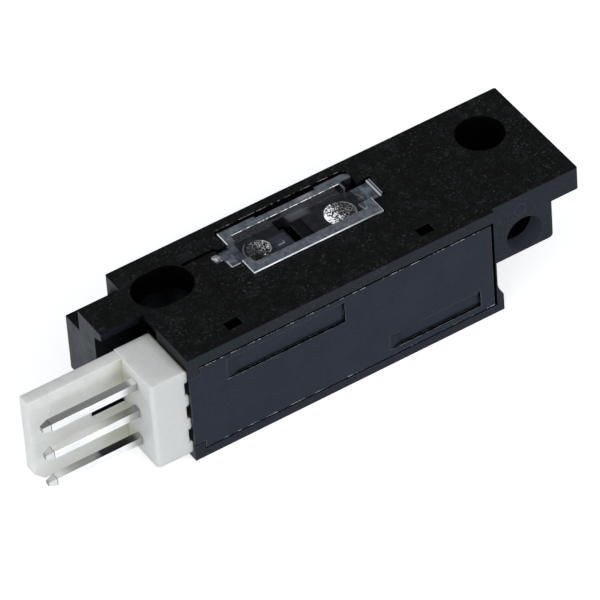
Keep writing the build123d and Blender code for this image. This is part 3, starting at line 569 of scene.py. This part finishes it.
def window_mark_light(tree, x, y, z, on_lip, on_floor):
    """Faint painted highlights: the left tab's edges, an arc by the left lens, the lip, the pad's mark, the dent."""
    tab_front = product(tree, line_along(tree, y, 6.17, 0.035), nearness(tree, x, 7.75, 0.33))
    tab_end = product(tree, line_along(tree, x, 7.43, 0.03), nearness(tree, y, 6.5, 0.36))
    circle = line_along(tree, distance(tree, x, 9.95, y, 6.5), 1.23, 0.02)
    arc = product(tree, circle, nearness(tree, x, 8.9, 0.25, 0.2), 0.3, on_floor)
    stripes = greatest(tree, line_along(tree, x, LIP_X[0] + 0.03, 0.03), line_along(tree, x, LIP_X[1], 0.03))
    stripes = product(tree, stripes, on_lip, above(tree, z, WELL_FLOOR + 0.1), 0.8)
    foot = product(tree, line_along(tree, y, 6.07, 0.03), nearness(tree, x, 11.28, 0.27))
    stroke = product(tree, line_along(tree, x, 11.53, 0.03), nearness(tree, y, 6.18, 0.12))
    dent = product(tree, nearness(tree, z, 8.865, 0.022, 0.005), above(tree, x, 17.3), below(tree, y, 8.0), 0.35)
    return greatest(tree, product(tree, greatest(tree, tab_front, tab_end), 0.8), arc, stripes,
                    product(tree, greatest(tree, foot, stroke), 0.35), dent)


def window_plastic():
    """The clear window, a little smoky in its rim and floor, with painted highlights on its edges and painted
    sparkle on the lenses beneath, which glow on their outer side.
    """
    material, tree = new_material("window_clear_look")
    where = position(tree)
    x, y, z = axis_values(tree, where)
    on_rim = above(tree, z, WINDOW_Z[1] - 0.03)
    on_stub = below(tree, x, WINDOW_X[0] - 0.86)
    on_lip = above(tree, x, LIP_X[0] - 0.01)
    on_floor = nearness(tree, z, WELL_FLOOR, 0.01, 0.01)
    above_seat = inverse(tree, below(tree, z, WINDOW_Z[0] - 0.01))
    colour = window_tones(tree, where, x, y, z, on_rim, on_stub, on_lip)
    closed = product(tree, math_node(tree, "ADD", product(tree, on_rim, 0.08), 0.92), above_seat)
    closed = greatest(tree, closed, product(tree, on_stub, 0.9))

    bright = window_edge_light(tree, where, x, y, z)
    lens_ground = toned(tree, noise(tree, where, 2.6, 3.0, 0.6), 0.42, 0.6, LENS_TONES)
    for lens in LENSES:
        middle_x, middle_y, radius = lens[:3]
        from_middle = distance(tree, x, middle_x, y, middle_y)
        over_lens = product(tree, nearness(tree, from_middle, 0.0, radius - 0.04), on_floor)
        colour = blend_colour(tree, over_lens, colour, lens_ground)
        sparkle = product(tree, over_lens, lens_sparkle(tree, where, x, from_middle, lens))
        bright = greatest(tree, bright, sparkle)

    # the wedge of painted black shade on the left lens, where its highlights are left out
    wedge_edge = math_node(tree, "SUBTRACT", 6.45, product(tree, away_from(tree, x, 9.4), 2.0))
    wedge = product(tree, math_node(tree, "GREATER_THAN", wedge_edge, y), nearness(tree, y, 6.1, 0.35), on_floor)
    bright = product(tree, bright, inverse(tree, wedge))
    colour = blend_colour(tree, wedge, colour, (0.002, 0.002, 0.003))
    # Painted highlights turn the colour white.
    colour = blend_colour(tree, bright, colour, (0.95, 0.97, 1.0))
    closed = greatest(tree, closed, bright, wedge)

    # an almond-shaped patch at the rim's right end, darker inside, with a painted highlight along its outline
    almond = distance(tree, product(tree, math_node(tree, "SUBTRACT", x, 17.56), 4.6), 0.0,
                      product(tree, math_node(tree, "SUBTRACT", y, 6.0), 1.3), 0.0)
    colour = blend_colour(tree, product(tree, below(tree, almond, 0.9), on_rim, 0.6), colour, (0.02, 0.024, 0.035))
    outline = product(tree, nearness(tree, almond, 0.95, 0.05, 0.1), on_rim, 0.22)
    bright = greatest(tree, bright, window_mark_light(tree, x, y, z, on_lip, on_floor), outline)

    # The painted highlights also glow by emission on the outer side, though the window is no lamp.
    outside = inverse(tree, add(tree, "ShaderNodeNewGeometry").outputs["Backfacing"])
    through = add(tree, "ShaderNodeBsdfTransparent", Color=(0.96, 0.97, 1.0))
    body = principled(tree, Base_Color=colour, Roughness=0.35, IOR=1.4, Emission_Color=(0.95, 0.98, 1.0),
                      Emission_Strength=product(tree, bright, outside, 0.5))
    shine = add(tree, "ShaderNodeBsdfGlossy", Roughness=0.1)
    fresnel = add(tree, "ShaderNodeFresnel", IOR=1.45)
    seen = mix_shaders(tree, closed, through.outputs[0], body)
    output(tree, mix_shaders(tree, fresnel.outputs[0], seen, shine.outputs[0]))
    material.cycles.emission_sampling = "NONE"
    return material


LOOKS = {
    "housing_plastic": black_plastic(
        "housing_plastic_look", ((0.0028, 0.0022, 0.0006), (0.0052, 0.0044, 0.002)), (0.05, 0.053, 0.055), 0.42, 0.6,
        housing_details, shaded_sides=((0.0003, 0.0005, 0.0012), (0.001, 0.0014, 0.0028))),
    "cover_plastic": black_plastic(
        "cover_plastic_look", ((0.001, 0.0022, 0.006), (0.0035, 0.006, 0.012)), (0.014, 0.018, 0.027), 0.34, 0.2,
        cover_details),
    "shield_plastic": black_plastic(
        "shield_plastic_look", ((0.003, 0.003, 0.003), (0.006, 0.006, 0.006)), (0.01, 0.01, 0.01), 0.6, 0.3,
        baffle_details, alone=False),
    "window_clear": window_plastic(),
    "package_clear": clear_plastic("package_clear_look", (0.5, 0.55, 0.62), 0.05),
    "package_tinted": clear_plastic("package_tinted_look", (0.2, 0.2, 0.24), 0.2),
    "header_nylon": white_nylon(),
    "pin_metal": metal("pin_metal_look", (0.99, 0.99, 0.98), 0.16, (0.12, 1.0, 1.0), is_pin=True),
    "lead_metal": metal("lead_metal_look", (0.75, 0.75, 0.76), 0.25, (1.0, 1.0, 0.2)),
    "solder": metal("solder_look", (0.74, 0.74, 0.77), 0.22, (1.0, 1.0, 1.0)),
    "board_laminate": mottled("board_laminate_look", (0.02, 0.12, 0.05), (0.03, 0.16, 0.07), 0.3),
    "die": mottled("die_look", (0.16, 0.17, 0.22), (0.3, 0.31, 0.38), 0.15, 6.0),
    "chip_black": mottled("chip_black_look", (0.012, 0.012, 0.012), (0.02, 0.02, 0.02), 0.55, 6.0),
    "resistor_ceramic": mottled("resistor_ceramic_look", (0.02, 0.02, 0.024), (0.05, 0.05, 0.055), 0.3),
    "capacitor_ceramic": mottled("capacitor_ceramic_look", (0.36, 0.25, 0.15), (0.46, 0.33, 0.21), 0.4),
}
slot_of = {part["node"]: part["material_slot"] for part in frame["record"]["subparts"]}
for node_name, node in nodes.items():
    look = LOOKS[slot_of[node_name]]
    for index in range(len(node.data.materials)):
        node.data.materials[index] = look


# The window, the cover and the pins again, with their edges rounded in the mesh

def reshaped(node, name, reshape, rounding):
    """A node's mesh as clean faces, reshaped and with its edges rounded, in place of the node."""
    mesh = nodes[node].data.copy()
    shaper = bmesh.new()
    shaper.from_mesh(mesh)
    bmesh.ops.remove_doubles(shaper, verts=shaper.verts, dist=0.001 * MM)
    bmesh.ops.dissolve_limit(shaper, angle_limit=math.radians(1), verts=shaper.verts, edges=shaper.edges)
    reshape(shaper)
    shaper.to_mesh(mesh)
    shaper.free()
    made = bpy.data.objects.new(name, mesh)
    bpy.context.scene.collection.objects.link(made)
    bevel = made.modifiers.new("rounding", "BEVEL")
    bevel.width = rounding * MM
    bevel.segments = 2
    bevel.limit_method = "ANGLE"
    bevel.angle_limit = math.radians(40)
    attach(made, "root")
    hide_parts(node)


def reshape_window(shaper):
    """Its back edge drawn in from the housing, a cut corner, and the torn gate that stands on its left tab."""
    back_edge = at(0, WINDOW_Y[1] - 0.3, 0).y
    for vertex in shaper.verts:
        if vertex.co.y > back_edge:
            vertex.co.y -= BACK_DRAWN_IN * MM
    corner_limit = at(LIP_X[1], TAB_CORNER_BEHIND, 0)
    tab_corner = []
    for edge in shaper.edges:
        first, second = (vertex.co for vertex in edge.verts)
        at_tab_end = all(abs(end.x - corner_limit.x) < CLOSE for end in (first, second))
        if at_tab_end and abs(first.z - second.z) > 0.1 * MM and first.y < corner_limit.y:
            tab_corner.append(edge)
    bmesh.ops.bevel(shaper, geom=tab_corner, offset=TAB_CORNER_CUT * MM, segments=1, affect="EDGES")
    middle = at(*GATE_MIDDLE)
    place = Matrix.Translation(middle) @ Matrix.Diagonal((*(half * MM for half in GATE_HALVES), 1))
    torn = bmesh.ops.create_icosphere(shaper, subdivisions=3, radius=1, matrix=place)
    for vertex in torn["verts"]:
        rough = mathutils_noise.noise(vertex.co * 4000)
        vertex.co = middle + (vertex.co - middle) * (1 + 0.35 * rough)


def reshape_cover(shaper):
    """Its two bare recesses made shallower, as thin as their edges show."""
    floor_y = at(0, RECESS_DEPTH, 0).y
    for vertex in shaper.verts:
        if abs(vertex.co.y - floor_y) < CLOSE:
            vertex.co.y -= RECESS_RAISED * MM


def reshape_pin(shaper):
    """Its shank drawn out to a shorter tip."""
    shank_end, tip_start = (at(x, 0, 0).x for x in (SHANK_END_X, PIN_TIP_X))
    for vertex in shaper.verts:
        if abs(vertex.co.x - shank_end) < CLOSE:
            vertex.co.x = tip_start


reshaped("lens_window", "window_moulding", reshape_window, 0.035)
reshaped("side_cover", "cover_moulding", reshape_cover, 0.025)
for number in (1, 2, 3):
    reshaped(f"header_pin_{number}", f"pin_{number}_shape", reshape_pin, 0.02)


# Floor, light and backdrop

def plane(name, size, location, material):
    half = size / 2
    mesh = bpy.data.meshes.new(name)
    corners = [(-half, -half, 0), (half, -half, 0), (half, half, 0), (-half, half, 0)]
    mesh.from_pydata(corners, [], [(0, 1, 2, 3)])
    mesh.materials.append(material)
    made = bpy.data.objects.new(name, mesh)
    made.location = location
    bpy.context.scene.collection.objects.link(made)
    return made


def floor_material():
    """A pale floor that the camera sees as white, with the object's shadow left on it."""
    material, tree = new_material("floor_look")
    tone = toned(tree, noise(tree, position(tree), 0.02, 2.0), 0.3, 0.7, ((0.67, 0.69, 0.71), (0.69, 0.71, 0.73)))
    shader = add(tree, "ShaderNodeBsdfDiffuse", Color=tone).outputs[0]
    path = add(tree, "ShaderNodeLightPath")
    for ray, colour, strength in (("Is Camera Ray", (1, 1, 1), 0.68), ("Is Glossy Ray", (0.95, 0.98, 1.0), 0.55)):
        glow = add(tree, "ShaderNodeEmission", Color=colour, Strength=product(tree, path.outputs[ray], strength))
        shader = add(tree, "ShaderNodeAddShader", i0=shader, i1=glow.outputs[0]).outputs[0]
    output(tree, shader)
    return material


floor = plane("floor", 3.0, (0, 0, -0.00002), floor_material())


def softbox(name, direction, size, radiance, away=0.7):
    """A square soft lamp that looks at the object from a direction, with the brightness of its face given."""
    light = bpy.data.lights.new(name, "AREA")
    light.size = size
    light.energy = radiance * math.pi * size ** 2
    made = bpy.data.objects.new(name, light)
    made.location = away * Vector(direction).normalized()
    made.rotation_euler = (-made.location).to_track_quat("-Z", "Y").to_euler()
    bpy.context.scene.collection.objects.link(made)


softbox("front_softbox", (0.36, -0.69, 0.63), 0.15, 9.2)
softbox("left_softbox", (-0.69, 0.50, 0.40), 0.15, 9.0)
softbox("low_softbox", (-0.75, -0.65, 0.12), 0.4, 2.0)

world = bpy.data.worlds.new("studio")
bpy.context.scene.world = world
world.use_nodes = True
sky = world.node_tree
for node in list(sky.nodes):
    sky.nodes.remove(node)
sky_direction = add(sky, "ShaderNodeTexCoord").outputs["Generated"]
facing = dot(sky, sky_direction, (0.36, 0.63, 0.69))
studio_tone = ramp(sky, facing, (0.0, 1.0), (0.45, (0.40, 0.41, 0.43)), (0.8, (0.12, 0.12, 0.125)))
studio = add(sky, "ShaderNodeBackground", Color=studio_tone, Strength=1.1)
white = add(sky, "ShaderNodeBackground", Color=(1, 1, 1), Strength=1.0)
camera_ray = add(sky, "ShaderNodeLightPath").outputs["Is Camera Ray"]
add(sky, "ShaderNodeOutputWorld", Surface=mix_shaders(sky, camera_ray, studio.outputs[0], white.outputs[0]))


# Camera, from the photograph's own perspective

def aim(azimuth, elevation, roll):
    """Camera axes for a sight line that comes down from the front left, as a rotation matrix."""
    a, e, r = (math.radians(v) for v in (azimuth, elevation, roll))
    back = Vector((math.sin(a) * math.cos(e), -math.cos(a) * math.cos(e), math.sin(e)))
    forward = -back
    right = forward.cross(Vector(UP)).normalized()
    down = forward.cross(right)
    turned_right = math.cos(r) * right + math.sin(r) * down
    turned_down = -math.sin(r) * right + math.cos(r) * down
    return Matrix((turned_right, -turned_down, back)).transposed()


camera_data = bpy.data.cameras.new("camera")
camera_data.angle = math.radians(4.8245)
camera_data.clip_start = 0.01
camera = bpy.data.objects.new("camera", camera_data)
axes = aim(-29.70, 43.578, 4.524)
half_pixel = 0.0336 * MM * (axes.col[1] - axes.col[0])
camera.matrix_world = Matrix.Translation(at(-159.88, -295.94, 333.92) + half_pixel) @ axes.to_4x4()
bpy.context.scene.collection.objects.link(camera)
bpy.context.scene.camera = camera
bpy.context.scene.view_settings.view_transform = "Standard"
